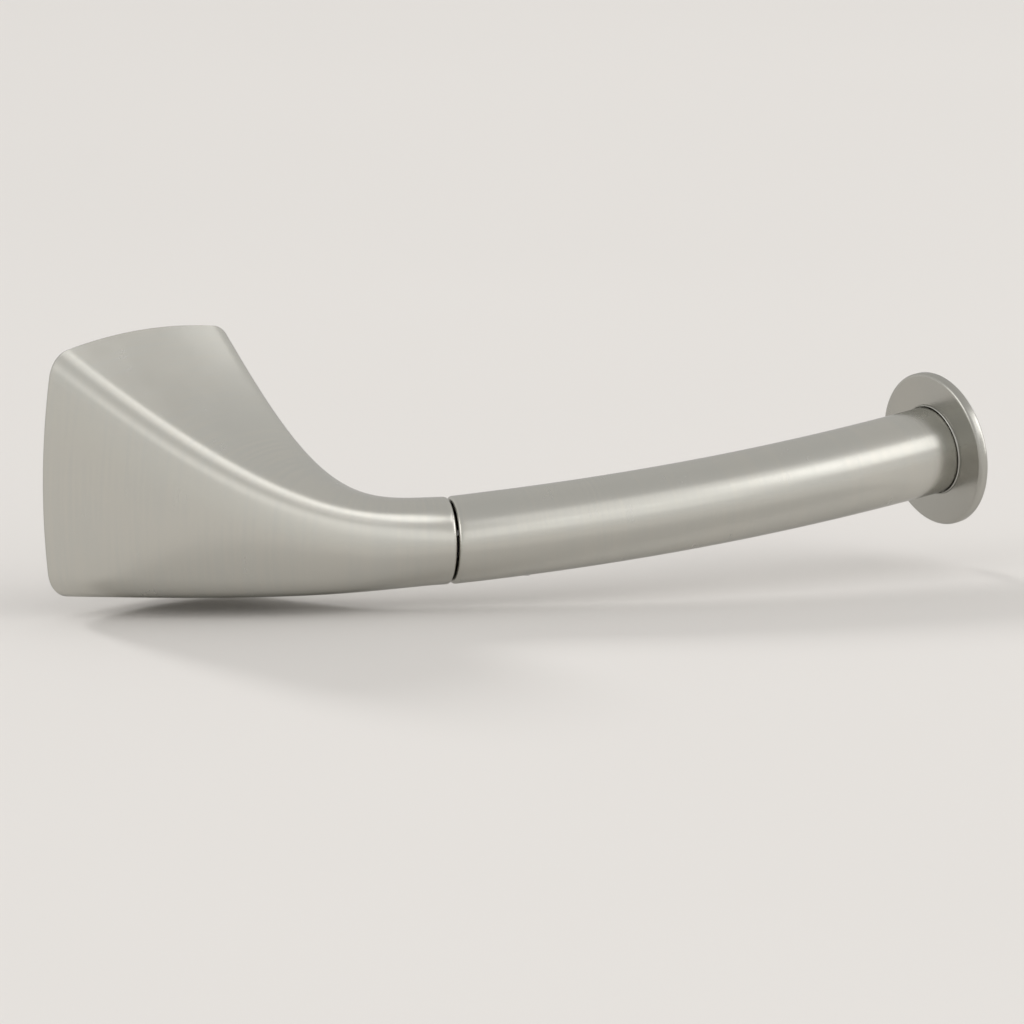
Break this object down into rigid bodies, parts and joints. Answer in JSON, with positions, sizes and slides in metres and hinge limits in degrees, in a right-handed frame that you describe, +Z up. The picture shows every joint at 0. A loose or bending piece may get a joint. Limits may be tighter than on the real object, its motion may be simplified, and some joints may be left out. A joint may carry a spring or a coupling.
{
  "type": "toilet paper holder",
  "caption": "Wall post flaring from a rounded square base into a round neck, with a gently curved lift-up roll arm that ends in a flat round disc.",
  "frame": {"origin": "centre of the square base, on the wall plane, at the back of the bracket", "axes": "+X along the wall towards the arm's free end, +Y into the wall (the room is towards -Y), +Z up"},
  "size_m": [0.2251, 0.1492, 0.0664],
  "materials": {
    "satin_nickel": "satin brushed nickel plate",
    "zinc_plate": "zinc plated pressed steel",
    "bright_steel": "plain bright steel",
    "turned_brass": "turned brass",
    "white_nylon": "moulded nylon",
    "black_rubber": "moulded rubber"
  },
  "bodies": {
    "post": {"post_shell": "satin_nickel", "wall_bracket": "zinc_plate", "wall_screw_upper": "bright_steel", "wall_screw_lower": "bright_steel", "wall_anchor_upper": "white_nylon", "wall_anchor_lower": "white_nylon", "post_set_screw": "bright_steel", "hinge_lug": "bright_steel", "lug_washer": "bright_steel", "lug_lock_washer": "bright_steel", "lug_nut": "bright_steel"},
    "arm": {"arm_tube": "satin_nickel", "hinge_block": "turned_brass", "hinge_pin": "bright_steel", "thrust_washer_near": "white_nylon", "thrust_washer_far": "white_nylon", "stop_bumper": "black_rubber", "arm_set_screw": "bright_steel", "end_plug": "turned_brass", "disc_stud": "bright_steel", "end_disc": "satin_nickel"}
  },
  "joints": [
    {"name": "arm_lift", "type": "hinge", "parent": "post", "child": "arm", "pos_m": [0.06568, -0.05991, -0.0125], "axis": [-0.5373, -0.8434, 0], "range_deg": [0, 40]}
  ]
}
